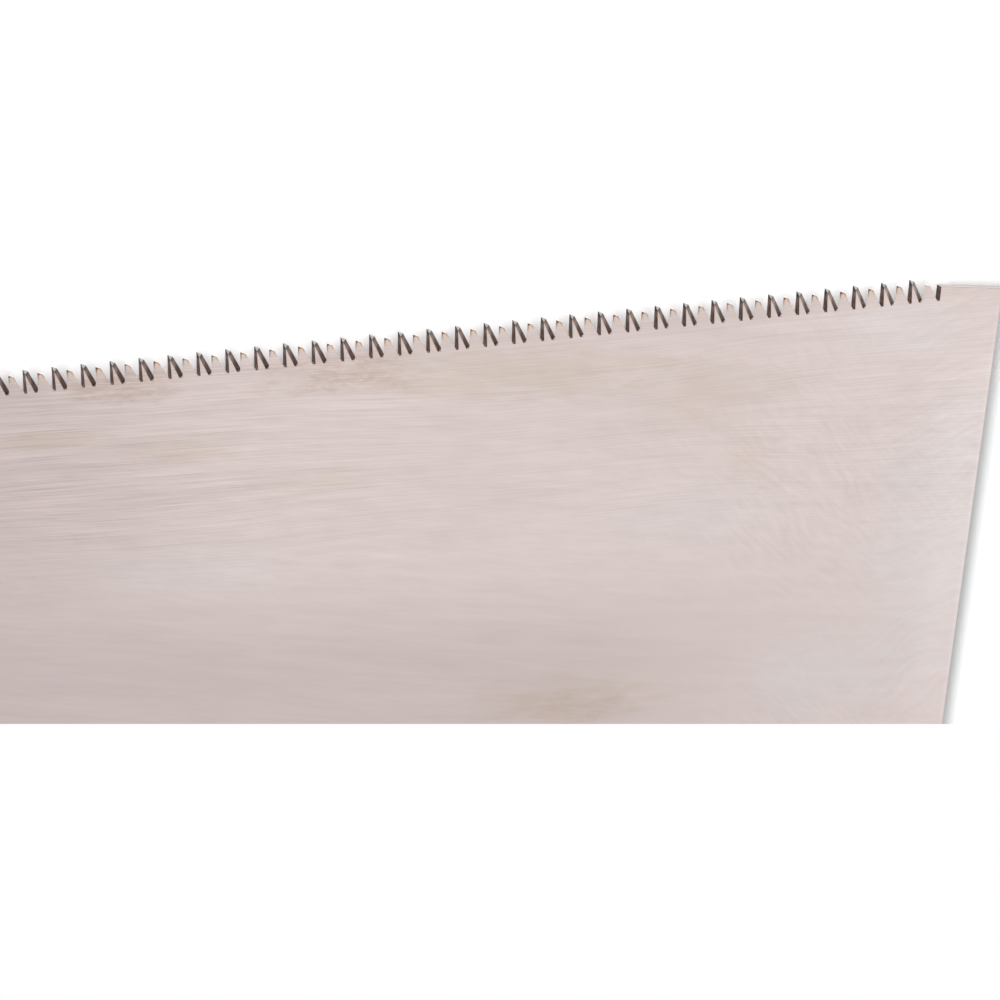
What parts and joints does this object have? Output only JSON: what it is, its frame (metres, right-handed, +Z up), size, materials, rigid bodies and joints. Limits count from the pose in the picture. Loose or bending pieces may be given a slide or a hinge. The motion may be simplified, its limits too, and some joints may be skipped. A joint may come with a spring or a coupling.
{
  "type": "ryoba saw",
  "caption": "Double-edged pull saw with a thin flared steel blade, crosscut and rip teeth, a screw-clamped folded holder and an oval wooden handle wound with rattan.",
  "frame": {"origin": "centre of the bounding box's underside, on the surface that the saw lies on", "axes": "+X along the saw to the toe, +Y in the blade's plane to the crosscut edge, +Z up, square to the blade"},
  "size_m": [0.629, 0.0987, 0.0234],
  "materials": {
    "blade_steel": "satin",
    "plated_steel": "satin",
    "dark_steel": "satin",
    "handle_wood": "satin",
    "rattan": "satin"
  },
  "bodies": {
    "handle": {"handle_upper_half": "handle_wood", "handle_lower_half": "handle_wood", "ferrule": "plated_steel", "rattan_wrap": "rattan", "blade_holder": "plated_steel", "hook_pin": "dark_steel", "clamp_nut": "plated_steel", "handle_pin_front": "dark_steel", "handle_pin_rear": "dark_steel", "wrap_tack_front": "dark_steel", "wrap_tack_rear": "dark_steel"},
    "blade": {"blade": "blade_steel"},
    "clamp_washer": {"clamp_washer": "plated_steel", "spring_washer": "dark_steel"},
    "clamp_screw": {"clamp_screw": "plated_steel"}
  },
  "joints": [
    {"name": "blade_release", "type": "hinge", "parent": "handle", "child": "blade", "pos_m": [0.0255, 0, 0.0112], "axis": [0, 0, 1], "range_deg": [0, 45]},
    {"name": "washer_lift", "type": "slide", "parent": "handle", "child": "clamp_washer", "axis": [0, 0, 1], "range_m": [0, 0.0016]},
    {"name": "screw_turn", "type": "hinge", "parent": "clamp_washer", "child": "clamp_screw", "pos_m": [0.0455, 0, 0.0112], "axis": [0, 0, 1], "range_deg": [0, 720]}
  ],
  "couplings": [
    {"joint": "screw_turn", "follows": "washer_lift", "rad_per_m": 7854}
  ]
}
